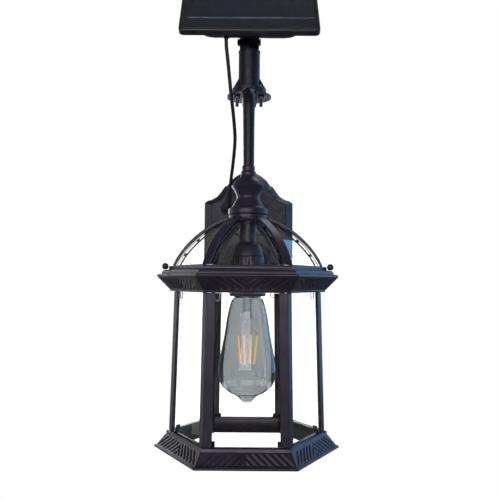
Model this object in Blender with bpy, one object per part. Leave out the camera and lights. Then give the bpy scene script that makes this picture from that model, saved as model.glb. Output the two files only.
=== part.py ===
# Solar wall lantern: six-sided cast lantern hung from a gooseneck arm, with a tilting
# solar panel on a pole clamped to the top of the arm.
#
# Frame: +Z up, +X to the right of a person facing the wall, +Y into the wall.
# The origin is on the wall, at the centre of the wall plate's back.
# Dimensions are in millimetres and are turned into metres as each mesh is made.

import math

import bmesh
import bpy
from mathutils import Matrix, Vector

MM = 0.001
GAP = 0.3                       # clearance left between pieces that touch

# ---------------------------------------------------------------- driving dimensions
AXIS_OUT = 130.0                # lantern axis, out from the wall
BASE_DROP = 250.0               # underside of the base, below the origin

PLATE_HALF_WIDTH = 58.5
PLATE_HALF_HEIGHT = 80.0
PLATE_DEPTH = 20.0
PLATE_EDGE = 6.0                # straight part of the rim before the bevel
PLATE_BEVEL = 10.0
PLATE_WALL = 2.6
STUD_SPACING = 100.0
STUD_RADIUS = 2.0

ARM_RADIUS = 6.8
ARM_TIP_RADIUS = 5.9            # the front leg tapers to this where it enters the finial
ARM_TIP_Z = 67.0                # top of the part of the leg that no longer tapers
ARM_WALL = 1.4
ARM_HEIGHT = 15.0               # where the arm leaves the plate, above the origin
ARM_FOOT_BEND = 20.0
ARM_TOP_BEND = 22.0
ARM_TOP_Z = 154.5               # centreline of the arm's level top
ARM_REACH_BACK = 50.0           # rear leg, out from the wall
ARM_END_Z = 51.0                # lower end, inside the finial
ROSETTE_RADIUS = 24.0
ROSETTE_DEPTH = 8.0

POLE_OUT = 90.0                 # pole axis, out from the wall
POLE_RADIUS = 12.8
POLE_WALL = 1.6
FLANGE_RADIUS = 20.5
FLANGE_THICK = 3.2
FLANGE_SKIRT = 2.7              # the rim hangs this far below the flange, beside the arm
POLE_HEIGHT = 48.5
CLAMP_HALF_WIDTH = 26.6
CLAMP_HALF_DEPTH = 23.0
CLAMP_BOLT_X = 14.3
CLAMP_BOLT_RADIUS = 1.9
CLAMP_BOLT_Y = -9.0             # both bolts stand on the room side of the pole's axis
CLAMP_WING_Z = 157.6            # top of the clamp plate's flat wings
CLAMP_THICK = 3.0
CLAMP_TROUGH = 1.4              # thickness of the trough under the arm
PIVOT_Z = 223.5
KNUCKLE_RADIUS = 8.6
KNUCKLE_WIDTH = 11.6
PIVOT_BOLT_RADIUS = 2.4

PANEL_TILT = 35.0               # degrees that the panel's face leans back from upright
PANEL_WIDTH = 163.5
PANEL_HEIGHT = 133.0
PANEL_THICK = 8.0
PANEL_BELOW_PIVOT = 27.0        # lower edge, below the pivot along the panel
PANEL_BACK = 27.0               # rear of the frame, ahead of the pivot
HOUSING_DEPTH = 12.0
HOUSING_WIDTH = 132.0
HOUSING_BOTTOM = -13.9          # lower edge of the rear housing, from the pivot
HOUSING_TOP = 66.0
LEAD_RADIUS = 2.1
LEAD_SPACING = 4.8 * LEAD_RADIUS        # between the points of the lead's centreline
LEAD_X = -27.0
LEAD_HOLE_RADIUS = 4.2
RELIEF_START = (-28.8, -26.0, 29.0)     # centre of the grommet's ball
RELIEF_END = (-23.5, -37.2, 57.5)       # upper end of the tapered sleeve

BASE_HEIGHT = 18.5
POST_BOTTOM_R = 86.5            # corner radius of the cage at the base
POST_TOP_R = 82.5
POST_TOP_Z = 173.0
POST_LEG = 9.0
POST_THICK = 2.2
PANE_THICK = 2.0
CORNICE_TOP = 201.0
DOME_CENTRE_R = -14.2           # centre of the arc that the ribs follow
DOME_CENTRE_Z = 152.3
DOME_RADIUS = 110.4
RIB_THICK = 3.0
RIB_WIDTH = 9.6
CROWN_RADIUS = 21.6
CROWN_TOP = 259.1
BALL_NUT_R = 93.0
BALL_RADIUS = 3.8

HEX = 6
ROUND = 28                      # sides of a turned piece
FINE = 12                       # sides of a small round piece
HEX_BORE = 1.0 / math.cos(math.radians(30.0))   # six-sided bore round a screw

SIDE_NAMES = ("right", "back_right", "back_left", "left", "front_left", "front_right")
FACE_NAMES = ("side_right_back", "back", "side_left_back", "side_left_front", "front",
              "side_right_front")


# ---------------------------------------------------------------- scene and materials
def clear_scene():
    for obj in list(bpy.data.objects):
        bpy.data.objects.remove(obj, do_unlink=True)


def make_material(name, colour, roughness, metallic=0.0, alpha=1.0):
    material = bpy.data.materials.new(name)
    material.use_nodes = True
    shader = material.node_tree.nodes["Principled BSDF"]
    shader.inputs["Base Color"].default_value = (*colour, 1.0)
    shader.inputs["Roughness"].default_value = roughness
    shader.inputs["Metallic"].default_value = metallic
    shader.inputs["Alpha"].default_value = alpha
    material.diffuse_color = (*colour, alpha)
    return material


clear_scene()
BRONZE = make_material("dark_bronze_paint", (0.032, 0.024, 0.028), 0.42, 0.35)
ZINC = make_material("zinc_plate", (0.50, 0.50, 0.48), 0.45, 0.9)
STEEL = make_material("steel_fixing", (0.62, 0.62, 0.62), 0.35, 1.0)
OLIVE = make_material("ball_nut_bronze", (0.16, 0.12, 0.06), 0.35, 0.8)
GLASS = make_material("clear_glass", (0.95, 0.98, 0.98), 0.03, 0.0, 0.25)
RUBBER = make_material("black_rubber", (0.012, 0.012, 0.013), 0.7)
PLASTIC = make_material("black_plastic", (0.02, 0.021, 0.024), 0.45)
CELLS = make_material("solar_cells", (0.02, 0.024, 0.035), 0.25)
BRASS = make_material("brass_shell", (0.75, 0.58, 0.28), 0.3, 1.0)
NICKEL = make_material("nickel_cap", (0.72, 0.70, 0.66), 0.3, 1.0)
GREEN_BOARD = make_material("circuit_board", (0.03, 0.16, 0.07), 0.5)
CELL_WRAP = make_material("battery_wrap", (0.05, 0.16, 0.42), 0.4)


# ---------------------------------------------------------------- mesh helpers
def make_object(name, mesh, material, parent=None, smooth=False):
    obj = bpy.data.objects.new(name, mesh)
    bpy.context.scene.collection.objects.link(obj)
    if material is not None:
        mesh.materials.append(material)
    if parent is not None:
        obj.parent = parent
    if smooth:
        mesh.shade_smooth()
        mesh.set_sharp_from_angle(angle=math.radians(35.0))
    return obj


def mesh_from(name, points, faces):
    """A mesh from millimetre points, with its faces turned to point outwards."""
    mesh = bpy.data.meshes.new(name)
    bm = bmesh.new()
    verts = [bm.verts.new(Vector(point) * MM) for point in points]
    for face in faces:
        bm.faces.new([verts[index] for index in face])
    bmesh.ops.recalc_face_normals(bm, faces=bm.faces)
    bm.to_mesh(mesh)
    bm.free()
    return mesh


def ring_faces(rows, count, closed_rows):
    """Quads between successive rings of `count` points each."""
    faces = []
    last = rows if closed_rows else rows - 1
    for row in range(last):
        above = (row + 1) % rows
        for i in range(count):
            j = (i + 1) % count
            faces.append((row * count + i, row * count + j, above * count + j, above * count + i))
    return faces


def loft(name, rings, closed_rows=False):
    """A skin through rings of points, capped at both ends unless it closes on itself."""
    count = len(rings[0])
    points = [point for ring in rings for point in ring]
    faces = ring_faces(len(rings), count, closed_rows)
    if not closed_rows:
        faces.append(tuple(range(count)))
        faces.append(tuple((len(rings) - 1) * count + i for i in range(count)))
    return mesh_from(name, points, faces)


def circle(radius, sides, turn=0.0):
    step = 2.0 * math.pi / sides
    return [(radius * math.cos(turn + step * i), radius * math.sin(turn + step * i))
            for i in range(sides)]


def turned(name, profile, sides=ROUND):
    """A ring turned about Z from a closed profile of (radius, height) points."""
    rings = [[(x, y, z) for x, y in circle(r, sides)] for r, z in profile]
    return loft(name, rings, closed_rows=True)


def turned_solid(name, profile, sides=ROUND):
    """A turned piece with no bore; the profile runs from one end to the other."""
    rings = [[(x, y, z) for x, y in circle(r, sides)] for r, z in profile]
    return loft(name, rings)


def prism(name, outline, low, high, axis="Z"):
    """A flat outline of two coordinates pushed along an axis from low to high."""
    def place(a, b, level):
        if axis == "X":
            return (level, a, b)
        if axis == "Y":
            return (a, level, b)
        return (a, b, level)
    rings = [[place(a, b, level) for a, b in outline] for level in (low, high)]
    return loft(name, rings)


def rectangle(x0, y0, x1, y1):
    return [(x0, y0), (x1, y0), (x1, y1), (x0, y1)]


def rounded_rectangle(x0, y0, x1, y1, radius, steps=4):
    centres = ((x1 - radius, y1 - radius, 0), (x0 + radius, y1 - radius, 90),
               (x0 + radius, y0 + radius, 180), (x1 - radius, y0 + radius, 270))
    outline = []
    for cx, cy, start in centres:
        for step in range(steps + 1):
            angle = math.radians(start + 90.0 * step / steps)
            outline.append((cx + radius * math.cos(angle), cy + radius * math.sin(angle)))
    return outline


def shrunk(outline, side, end):
    """The outline drawn in by `side` at its left and right and `end` at its top and bottom."""
    widest = max(x for x, z in outline)
    tallest = max(z for x, z in outline)
    return [(x * (widest - side) / widest, z * (tallest - end) / tallest) for x, z in outline]


def smooth_path(route, spacing):
    """Points at about `spacing` along a smooth curve through the route's points."""
    knots = [Vector(point) for point in route]
    ends = [2 * knots[0] - knots[1]] + knots + [2 * knots[-1] - knots[-2]]
    points = []
    for i in range(1, len(ends) - 2):
        p0, p1, p2, p3 = ends[i - 1:i + 3]
        steps = max(1, round((p2 - p1).length / spacing))
        for step in range(steps):
            t = step / steps
            points.append(0.5 * ((2 * p1) + (p2 - p0) * t
                                 + (2 * p0 - 5 * p1 + 4 * p2 - p3) * t * t
                                 + (3 * p1 - p0 - 3 * p2 + p3) * t ** 3))
    points.append(knots[-1])
    return points


def swept_tube(name, path, radii, wall, sides):
    """A hollow tube along a path in the YZ plane, with an outer radius at each point."""
    rings = []
    last = len(path) - 1
    for inset, order in ((0.0, range(last + 1)), (wall, range(last, -1, -1))):
        for i in order:
            point = path[i]
            radius = radii[i] - inset
            ahead = path[min(i + 1, len(path) - 1)]
            behind = path[max(i - 1, 0)]
            along = (ahead - behind).normalized()
            across = Vector((1.0, 0.0, 0.0))
            up = along.cross(across)
            rings.append([tuple(point + across * a + up * b) for a, b in circle(radius, sides)])
    return loft(name, rings, closed_rows=True)


def cutter(name, mesh, target, operation="DIFFERENCE", parent=None):
    """Cuts, joins or trims the target with a helper shape that is not part of the object."""
    tool = make_object(name, mesh, None, parent)
    tool.hide_render = True
    tool.display_type = "WIRE"
    modifier = target.modifiers.new(name, "BOOLEAN")
    modifier.operation = operation
    modifier.solver = "EXACT"
    modifier.object = tool
    return tool


def moved(mesh, offset, turn=None):
    matrix = Matrix.Translation(Vector(offset) * MM)
    if turn is not None:
        matrix = matrix @ turn
    mesh.transform(matrix)
    return mesh


ALONG_Y = Matrix.Rotation(math.radians(90.0), 4, "X")       # turned axis Z becomes -Y
ALONG_X = Matrix.Rotation(math.radians(90.0), 4, "Y")       # turned axis Z becomes +X


def rod(name, radius, low, high, sides=FINE):
    return turned_solid(name, [(radius, low), (radius, high)], sides)


# ---------------------------------------------------------------- frames of reference
def make_axis(name, position, tilt=0.0):
    axis = bpy.data.objects.new(name, None)
    bpy.context.scene.collection.objects.link(axis)
    axis.location = Vector(position) * MM
    axis.rotation_euler.x = math.radians(tilt)
    return axis


lantern_axis = make_axis("lantern_axis", (0.0, -AXIS_OUT, -BASE_DROP))
pole_axis = make_axis("pole_axis", (0.0, -POLE_OUT, 0.0))
panel_tilt_axis = make_axis("panel_tilt_axis", (0.0, -POLE_OUT, PIVOT_Z), -PANEL_TILT)


# ---------------------------------------------------------------- wall plate and arm
def ogee_outline():
    """Anticlockwise outline of the wall plate: round crown, shoulder step, hollow sweep."""
    crown = [(58.5, 38.0), (54.5, 41.0), (48.5, 42.6), (41.5, 47.0), (36.0, 54.0), (32.0, 60.0),
             (28.5, 61.5), (24.0, 68.0), (17.0, 74.0), (9.0, 78.5), (0.0, PLATE_HALF_HEIGHT)]
    left = [(-x, z) for x, z in reversed(crown[:-1])]
    upper = crown + left
    lower = [(-x, -z) for x, z in upper]
    return upper + lower


def build_wall_plate():
    rim = ogee_outline()
    face = shrunk(rim, PLATE_BEVEL, PLATE_BEVEL - 2.0)
    inner = shrunk(rim, PLATE_WALL, PLATE_WALL)
    inner_face = shrunk(rim, PLATE_BEVEL + 1.4, PLATE_BEVEL - 0.6)

    def ring(outline, y):
        return [(x, y, z) for x, z in outline]

    rings = [ring(inner_face, -PLATE_DEPTH + PLATE_WALL), ring(inner, -PLATE_EDGE),
             ring(inner, 0.0), ring(rim, 0.0), ring(rim, -PLATE_EDGE),
             ring(face, -PLATE_DEPTH)]
    plate = make_object("wall_plate", loft("wall_plate", rings), BRONZE)
    boss = [(ROSETTE_RADIUS, -1.0), (ROSETTE_RADIUS, 5.0), (ROSETTE_RADIUS - 2.0, 7.0),
            (16.0, ROSETTE_DEPTH), (8.0, ROSETTE_DEPTH)]
    boss_mesh = turned_solid("arm_boss", boss)
    moved(boss_mesh, (0.0, -PLATE_DEPTH, ARM_HEIGHT), ALONG_Y)
    cutter("arm_boss_shape", boss_mesh, plate, "UNION")
    arm_hole = moved(rod("arm_hole", ARM_RADIUS + GAP, -20.0, 20.0, ROUND),
                     (0.0, -PLATE_DEPTH, ARM_HEIGHT), ALONG_Y)
    cutter("arm_hole_shape", arm_hole, plate)
    for label, sign in (("top", 1), ("bottom", -1)):
        hole = moved(rod("stud_hole", STUD_RADIUS + 0.5, -10.0, 10.0),
                     (0.0, -PLATE_DEPTH, sign * STUD_SPACING / 2), ALONG_Y)
        cutter("stud_hole_" + label, hole, plate)
    lead_hole = moved(rod("lead_hole", LEAD_HOLE_RADIUS, -10.0, 10.0),
                      (RELIEF_START[0], -PLATE_DEPTH, RELIEF_START[2]), ALONG_Y)
    cutter("lead_hole_shape", lead_hole, plate)


def build_strap():
    """Flat strap screwed to the wall, with two studs that the plate's nuts pull on."""
    outline = rounded_rectangle(-10.0, -62.0, 10.0, 62.0, 4.0)
    strap = make_object("mounting_strap", prism("mounting_strap", outline, -1.8, 0.0, "Y"), STEEL)
    for label, sign in (("top", 1), ("bottom", -1)):
        stud = moved(rod("stud", STUD_RADIUS, 1.0, 27.5),
                     (0.0, 0.0, sign * STUD_SPACING / 2), ALONG_Y)
        cutter("stud_shape_" + label, stud, strap, "UNION")
        slot = prism("slot", rounded_rectangle(-2.4, -8.0, 2.4, 8.0, 2.3), -5.0, 5.0, "Y")
        moved(slot, (0.0, 0.0, sign * 26.0))
        cutter("screw_slot_" + label, slot, strap)
        nut = turned("plate_nut_" + label,
                     [(STUD_RADIUS + GAP, 0.3), (5.0, 0.3), (5.2, 3.0), (3.6, 6.2),
                      (STUD_RADIUS + GAP, 7.0)], FINE)
        moved(nut, (0.0, -PLATE_DEPTH, sign * STUD_SPACING / 2), ALONG_Y)
        make_object("plate_nut_" + label, nut, BRONZE, smooth=True)


def arm_path():
    """Gooseneck centreline: out of the plate, up, over and down to the finial."""
    points = [Vector((0.0, -12.0, ARM_HEIGHT))]

    def bend(cy, cz, radius, start, end, steps):
        for step in range(steps + 1):
            angle = math.radians(start + (end - start) * step / steps)
            points.append(Vector((0.0, cy + radius * math.cos(angle),
                                  cz + radius * math.sin(angle))))

    rear = -ARM_REACH_BACK
    bend(rear + ARM_FOOT_BEND, ARM_HEIGHT + ARM_FOOT_BEND, ARM_FOOT_BEND, 270.0, 180.0, 7)
    top = ARM_TOP_Z - ARM_TOP_BEND
    bend(rear - ARM_TOP_BEND, top, ARM_TOP_BEND, 0.0, 90.0, 7)
    bend(-AXIS_OUT + ARM_TOP_BEND, top, ARM_TOP_BEND, 90.0, 180.0, 7)
    points.append(Vector((0.0, -AXIS_OUT, ARM_TIP_Z)))
    points.append(Vector((0.0, -AXIS_OUT, ARM_END_Z)))
    return points


def build_arm():
    path = arm_path()
    radii = [ARM_RADIUS] * (len(path) - 2) + [ARM_TIP_RADIUS] * 2
    mesh = swept_tube("gooseneck_arm", path, radii, ARM_WALL, 18)
    make_object("gooseneck_arm", mesh, BRONZE, smooth=True)


# ---------------------------------------------------------------- pole and its clamp
def build_pole():
    bottom = ARM_TOP_Z + ARM_RADIUS + GAP
    inner = POLE_RADIUS - POLE_WALL
    skirt = FLANGE_RADIUS - 2.3
    profile = [(inner, 0.0), (skirt, 0.0), (skirt, -FLANGE_SKIRT),
               (FLANGE_RADIUS, -FLANGE_SKIRT), (FLANGE_RADIUS, FLANGE_THICK),
               (POLE_RADIUS, FLANGE_THICK), (POLE_RADIUS, POLE_HEIGHT), (inner, POLE_HEIGHT)]
    mesh = moved(turned("pole_bracket", profile), (0.0, 0.0, bottom))
    pole = make_object("pole_bracket", mesh, BRONZE, pole_axis, smooth=True)
    saddle = prism("saddle", rectangle(-ARM_RADIUS - 0.8, bottom - 5.0, ARM_RADIUS + 0.8,
                                       bottom + 0.4), -30.0, 30.0, "Y")
    cutter("saddle_shape", saddle, pole, "DIFFERENCE", pole_axis)
    for label, sign in (("left", -1), ("right", 1)):
        outline = [(sign * (POLE_RADIUS - 0.6), bottom + 1.0), (sign * 20.0, bottom + 1.0),
                   (sign * 20.0, bottom + 4.6), (sign * (POLE_RADIUS - 0.6), bottom + 18.0)]
        gusset = prism("gusset", outline, -1.3, 1.3, "Y")
        cutter("gusset_" + label, gusset, pole, "UNION", pole_axis)
        hole = moved(rod("flange_hole", CLAMP_BOLT_RADIUS + GAP, -5.0, 12.0),
                     (sign * CLAMP_BOLT_X, CLAMP_BOLT_Y, bottom))
        cutter("flange_hole_" + label, hole, pole, "DIFFERENCE", pole_axis)


def build_clamp():
    """Oval plate whose trough cradles the arm from below, drawn up by two bolts."""
    wing = CLAMP_WING_Z
    centre = ARM_TOP_Z
    inner = ARM_RADIUS + 0.95
    outer = inner + CLAMP_TROUGH
    lower = [(outer * math.cos(a), centre + outer * math.sin(a))
             for a in (math.radians(-d) for d in range(172, 0, -14))]
    upper = [(inner * math.cos(a), centre + inner * math.sin(a))
             for a in (math.radians(-d) for d in range(8, 180, 14))]
    below = wing - CLAMP_THICK
    outline = [(-CLAMP_HALF_WIDTH, below), (-outer, below)] + lower
    outline += [(outer, below), (CLAMP_HALF_WIDTH, below), (CLAMP_HALF_WIDTH, wing)]
    outline += [(inner, wing)] + upper + [(-inner, wing), (-CLAMP_HALF_WIDTH, wing)]
    plate = make_object("clamp_plate", prism("clamp_plate", outline, -CLAMP_HALF_DEPTH,
                                             CLAMP_HALF_DEPTH, "Y"), ZINC, pole_axis)
    oval = [(CLAMP_HALF_WIDTH * 0.996 * math.cos(a), CLAMP_HALF_DEPTH * 0.996 * math.sin(a))
            for a in (2.0 * math.pi * i / 32 for i in range(32))]
    cutter("clamp_oval", prism("clamp_oval", oval, 130.0, 175.0), plate, "INTERSECT", pole_axis)
    flange_top = ARM_TOP_Z + ARM_RADIUS + GAP + FLANGE_THICK
    nut_bore = (CLAMP_BOLT_RADIUS + GAP) * HEX_BORE
    for label, sign in (("left", -1), ("right", 1)):
        place = (sign * CLAMP_BOLT_X, CLAMP_BOLT_Y, 0.0)
        hole = moved(rod("clamp_hole", CLAMP_BOLT_RADIUS + GAP, 140.0, 165.0), place)
        cutter("clamp_hole_" + label, hole, plate, "DIFFERENCE", pole_axis)
        top = flange_top + GAP
        bolt = turned_solid("clamp_bolt_" + label,
                            [(CLAMP_BOLT_RADIUS - 0.4, 142.0), (CLAMP_BOLT_RADIUS, 142.7),
                             (CLAMP_BOLT_RADIUS, top), (3.4, top), (3.4, top + 2.6)], HEX * 2)
        make_object("clamp_bolt_" + label, moved(bolt, place), STEEL, pole_axis)
        nut = turned("clamp_nut_" + label,
                     [(nut_bore, below - 3.6), (3.5, below - 3.6), (3.5, below - GAP),
                      (nut_bore, below - GAP)], HEX)
        make_object("clamp_nut_" + label, moved(nut, place), STEEL, pole_axis)


def eye_outline(radius, foot):
    """Side view of a knuckle: a round eye about the pivot on a web reaching `foot`."""
    arc = [(radius * math.cos(a), radius * math.sin(a))
           for a in (math.radians(d) for d in range(0, 181, 15))]
    return arc + [(-radius, foot), (radius, foot)]


def build_knuckles():
    """Half-lap joint: the pole's tang on the left, the panel's tang on the right."""
    foot = -(PIVOT_Z - (ARM_TOP_Z + ARM_RADIUS + GAP + POLE_HEIGHT)) + 2.4
    left = prism("pole_knuckle", eye_outline(KNUCKLE_RADIUS, foot - 1.0), -KNUCKLE_WIDTH,
                 -GAP / 2, "X")
    moved(left, (0.0, 0.0, PIVOT_Z))
    pole_knuckle = make_object("pole_knuckle", left, BRONZE, pole_axis, smooth=True)
    seat = PIVOT_Z + foot
    cap = turned_solid("knuckle_cap", [(POLE_RADIUS - POLE_WALL - GAP, seat - 12.0),
                                       (POLE_RADIUS - POLE_WALL - GAP, seat - 2.1),
                                       (POLE_RADIUS + 0.5, seat - 2.1),
                                       (POLE_RADIUS + 0.5, seat - 0.8), (POLE_RADIUS - 0.6, seat)])
    cutter("knuckle_cap_shape", cap, pole_knuckle, "UNION", pole_axis)
    hole = rod("pivot_hole", PIVOT_BOLT_RADIUS + GAP, -20.0, 20.0)
    cutter("pole_pivot_hole", moved(hole, (0.0, 0.0, PIVOT_Z), ALONG_X), pole_knuckle,
           "DIFFERENCE", pole_axis)

    back = -PANEL_BACK + HOUSING_DEPTH
    outline = [(y, z) for z, y in eye_outline(KNUCKLE_RADIUS, back + 2.0)]
    right = prism("panel_knuckle", outline, GAP / 2, KNUCKLE_WIDTH, "X")
    panel_knuckle = make_object("panel_knuckle", right, BRONZE, panel_tilt_axis, smooth=True)
    foot_plate = prism("foot_plate", rounded_rectangle(-15.0, -9.0, 15.0, 13.0, 3.0),
                       back + GAP, back + 3.3, "Y")
    cutter("foot_plate_shape", foot_plate, panel_knuckle, "UNION", panel_tilt_axis)
    hole = rod("pivot_hole", PIVOT_BOLT_RADIUS + GAP, -20.0, 20.0)
    hole.transform(ALONG_X)
    cutter("panel_pivot_hole", hole, panel_knuckle, "DIFFERENCE", panel_tilt_axis)

    end = KNUCKLE_WIDTH + GAP
    bolt = turned_solid("pivot_bolt", [(PIVOT_BOLT_RADIUS, -end - 2.8), (PIVOT_BOLT_RADIUS, end),
                                       (4.3, end), (4.3, end + 1.8)])
    make_object("pivot_bolt", moved(bolt, (0.0, 0.0, PIVOT_Z), ALONG_X), STEEL, pole_axis)
    nut_bore = (PIVOT_BOLT_RADIUS + GAP) * HEX_BORE
    nut = turned("pivot_nut", [(nut_bore, -end - 2.3), (4.6, -end - 2.3),
                               (4.6, -end), (nut_bore, -end)], HEX)
    make_object("pivot_nut", moved(nut, (0.0, 0.0, PIVOT_Z), ALONG_X), STEEL, pole_axis)


# ---------------------------------------------------------------- solar panel
def panel_ring(x_half, bottom, top, radius, y):
    return [(x, y, z) for x, z in rounded_rectangle(-x_half, bottom, x_half, top, radius)]


def build_panel():
    """Tray with the glass and cells in front, and a rear housing for the battery."""
    half = PANEL_WIDTH / 2
    bottom = -PANEL_BELOW_PIVOT
    top = PANEL_HEIGHT - PANEL_BELOW_PIVOT
    back = -PANEL_BACK
    front = back - PANEL_THICK

    def ring(inset, y, radius):
        return panel_ring(half - inset, bottom + inset, top - inset, radius, y)

    tray = loft("panel_frame", [ring(0.0, back, 6.0), ring(0.0, front + 1.6, 6.0),
                                ring(1.6, front, 5.0), ring(3.4, front, 4.0),
                                ring(3.4, front + 3.6, 4.0)])
    make_object("panel_frame", tray, PLASTIC, panel_tilt_axis)
    glass = loft("panel_glass", [ring(3.8, front + 0.4, 3.6), ring(3.8, front + 2.2, 3.6)])
    make_object("panel_glass", glass, GLASS, panel_tilt_axis)
    cells = loft("solar_cells", [ring(5.0, front + 2.5, 2.6), ring(5.0, front + 3.3, 2.6)])
    make_object("solar_cells", cells, CELLS, panel_tilt_axis)

    skin = 2.2
    rear = back + HOUSING_DEPTH
    x_half = HOUSING_WIDTH / 2

    def hollow(inset, y, radius):
        return panel_ring(x_half - inset, HOUSING_BOTTOM - 4.0 + inset, HOUSING_TOP + 4.0 - inset,
                          radius, y)

    shell = loft("panel_housing", [hollow(skin + 3.0, rear - skin, 20.0),
                                   hollow(skin, back + GAP, 22.0), hollow(0.0, back + GAP, 24.0),
                                   hollow(2.4, rear - 2.0, 22.0), hollow(4.0, rear, 21.0)])
    housing = make_object("panel_housing", shell, PLASTIC, panel_tilt_axis)
    nozzle = turned_solid("lead_nozzle", [(4.4, 13.5), (4.4, 18.0), (3.4, 19.9)], FINE)
    moved(nozzle, (LEAD_X, rear - 5.5, 0.0), Matrix.Rotation(math.pi, 4, "X"))
    cutter("lead_nozzle_shape", nozzle, housing, "UNION", panel_tilt_axis)

    floor = rear - skin - 0.6
    pack = prism("battery_pack", rounded_rectangle(-34.0, 22.0, 34.0, 58.0, 3.0),
                 back + 0.9, floor, "Y")
    make_object("battery_pack", pack, CELL_WRAP, panel_tilt_axis)
    board = prism("control_board", rectangle(-30.0, -4.0, 30.0, 18.0), back + 2.0, back + 3.6, "Y")
    make_object("control_board", board, GREEN_BOARD, panel_tilt_axis)


# ---------------------------------------------------------------- lantern castings
def build_finial():
    outer = [(22.3, 259.4), (22.4, 265.0), (21.2, 266.4), (19.2, 267.6), (17.0, 270.8),
             (14.4, 275.4), (13.1, 278.4), (13.4, 281.4), (15.2, 285.4), (17.6, 289.2),
             (18.9, 291.4), (18.9, 292.4), (18.0, 293.4), (15.2, 296.8), (11.2, 300.6),
             (9.4, 302.6), (8.8, 304.6), (8.6, 307.6), (7.8, 309.0), (6.9, 309.4), (6.9, 310.8),
             (7.3, 311.4), (7.3, 314.6), (6.9, 315.2)]
    bore = ARM_TIP_RADIUS + 0.5
    inner = [(bore, 315.2), (bore, 300.4), (4.0, 300.0), (4.0, 274.0), (9.8, 269.0),
             (9.8, 259.4)]
    mesh = turned("finial", outer + inner)
    make_object("finial", mesh, BRONZE, lantern_axis, smooth=True)
    crown = turned("crown_plate", [(9.75, 252.6), (CROWN_RADIUS, 252.6),
                                   (CROWN_RADIUS, CROWN_TOP - 1.0), (20.8, CROWN_TOP),
                                   (9.75, CROWN_TOP)])
    make_object("crown_plate", crown, BRONZE, lantern_axis, smooth=True)
    stem = turned("stem_tube", [(7.6, 228.4), (9.35, 228.4), (9.35, 266.0), (7.6, 266.0)])
    make_object("stem_tube", stem, BRONZE, lantern_axis, smooth=True)


def dome_arc(radius, low, high, steps):
    """(corner radius, height) points up the dome between two heights."""
    start = math.asin((low - DOME_CENTRE_Z) / radius)
    end = math.asin((high - DOME_CENTRE_Z) / radius)
    points = []
    for step in range(steps + 1):
        angle = start + (end - start) * step / steps
        points.append((DOME_CENTRE_R + radius * math.cos(angle),
                       DOME_CENTRE_Z + radius * math.sin(angle)))
    return points


def build_rib(index):
    """A flat curved strip over one corner of the dome, from the cornice to the crown."""
    steps = 10
    start = math.asin((CORNICE_TOP + GAP - DOME_CENTRE_Z) / (DOME_RADIUS - RIB_THICK))
    end = math.acos((CROWN_RADIUS + 0.7 - DOME_CENTRE_R) / (DOME_RADIUS - RIB_THICK))
    half = RIB_WIDTH / 2
    rings = []
    for step in range(steps + 1):
        angle = start + (end - start) * step / steps
        ring = []
        for radius, y in ((DOME_RADIUS, -half), (DOME_RADIUS, half),
                          (DOME_RADIUS - RIB_THICK, half), (DOME_RADIUS - RIB_THICK, -half)):
            ring.append((DOME_CENTRE_R + radius * math.cos(angle), y,
                         DOME_CENTRE_Z + radius * math.sin(angle)))
        rings.append(ring)
    foot_drop = [(x, y, CORNICE_TOP + GAP) for x, y, z in rings[0]]
    rings[0] = foot_drop
    name = "dome_rib_" + SIDE_NAMES[index]
    mesh = loft(name, rings)
    mesh.transform(Matrix.Rotation(math.radians(60.0 * index), 4, "Z"))
    make_object(name, mesh, BRONZE, lantern_axis, smooth=True)


def build_dome_pane(index):
    """Curved pane that fills one side of the dome behind the ribs."""
    outer = dome_arc(DOME_RADIUS - RIB_THICK - 0.5, CORNICE_TOP + 0.4, 252.0, 10)
    inner = dome_arc(DOME_RADIUS - RIB_THICK - 0.5 - PANE_THICK, CORNICE_TOP + 0.4, 250.6, 10)
    cos30 = math.cos(math.radians(30.0))
    rings = []
    for (r_out, z_out), (r_in, z_in) in zip(outer, inner):
        half = r_in / 2 - 0.5
        rings.append([(r_out * cos30, -half, z_out), (r_out * cos30, half, z_out),
                      (r_in * cos30, half, z_in), (r_in * cos30, -half, z_in)])
    name = "dome_glass_" + FACE_NAMES[index]
    mesh = loft(name, rings)
    mesh.transform(Matrix.Rotation(math.radians(30.0 + 60.0 * index), 4, "Z"))
    make_object(name, mesh, GLASS, lantern_axis)


def build_cornice():
    profile = [(74.0, 173.0), (87.2, 173.0), (87.4, 175.4), (88.6, 175.9), (100.0, 187.3),
               (100.8, 188.2), (102.1, 189.1), (102.3, 190.3), (101.6, 191.7), (99.4, 192.3),
               (96.6, 192.6), (96.2, 193.4), (95.6, 195.6), (94.0, 196.4), (89.8, 196.8),
               (88.8, 197.4), (88.8, CORNICE_TOP), (76.0, CORNICE_TOP), (76.0, 198.2),
               (86.4, 197.6), (86.6, 195.2), (92.6, 192.6), (97.2, 189.2), (86.4, 178.0),
               (84.2, 176.8), (74.0, 176.8)]
    make_object("cornice_ring", turned("cornice_ring", profile, HEX), BRONZE, lantern_axis)
    for label, sign in (("left", -1), ("right", 1)):
        ball = [(2.2, 197.3), (2.6, 197.8)]
        for step in range(1, 9):
            angle = math.radians(-50.0 + 17.0 * step)
            ball.append((BALL_RADIUS * math.cos(angle), 200.7 + BALL_RADIUS * math.sin(angle)))
        mesh = moved(turned_solid("ball_nut_" + label, ball, FINE), (sign * BALL_NUT_R, 0.0, 0.0))
        make_object("ball_nut_" + label, mesh, OLIVE, lantern_axis, smooth=True)


def build_base():
    profile = [(78.0, 0.0), (80.6, 0.0), (80.6, 15.4), (86.4, 15.4), (87.6, 13.6), (96.4, 2.6),
               (97.4, 0.0), (101.6, 0.0), (102.9, 1.3), (101.9, 3.0), (99.2, 3.8),
               (90.5, 14.4), (89.4, 14.9), (89.4, BASE_HEIGHT), (78.0, BASE_HEIGHT)]
    make_object("base_skirt", turned("base_skirt", profile, HEX), BRONZE, lantern_axis)


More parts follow.
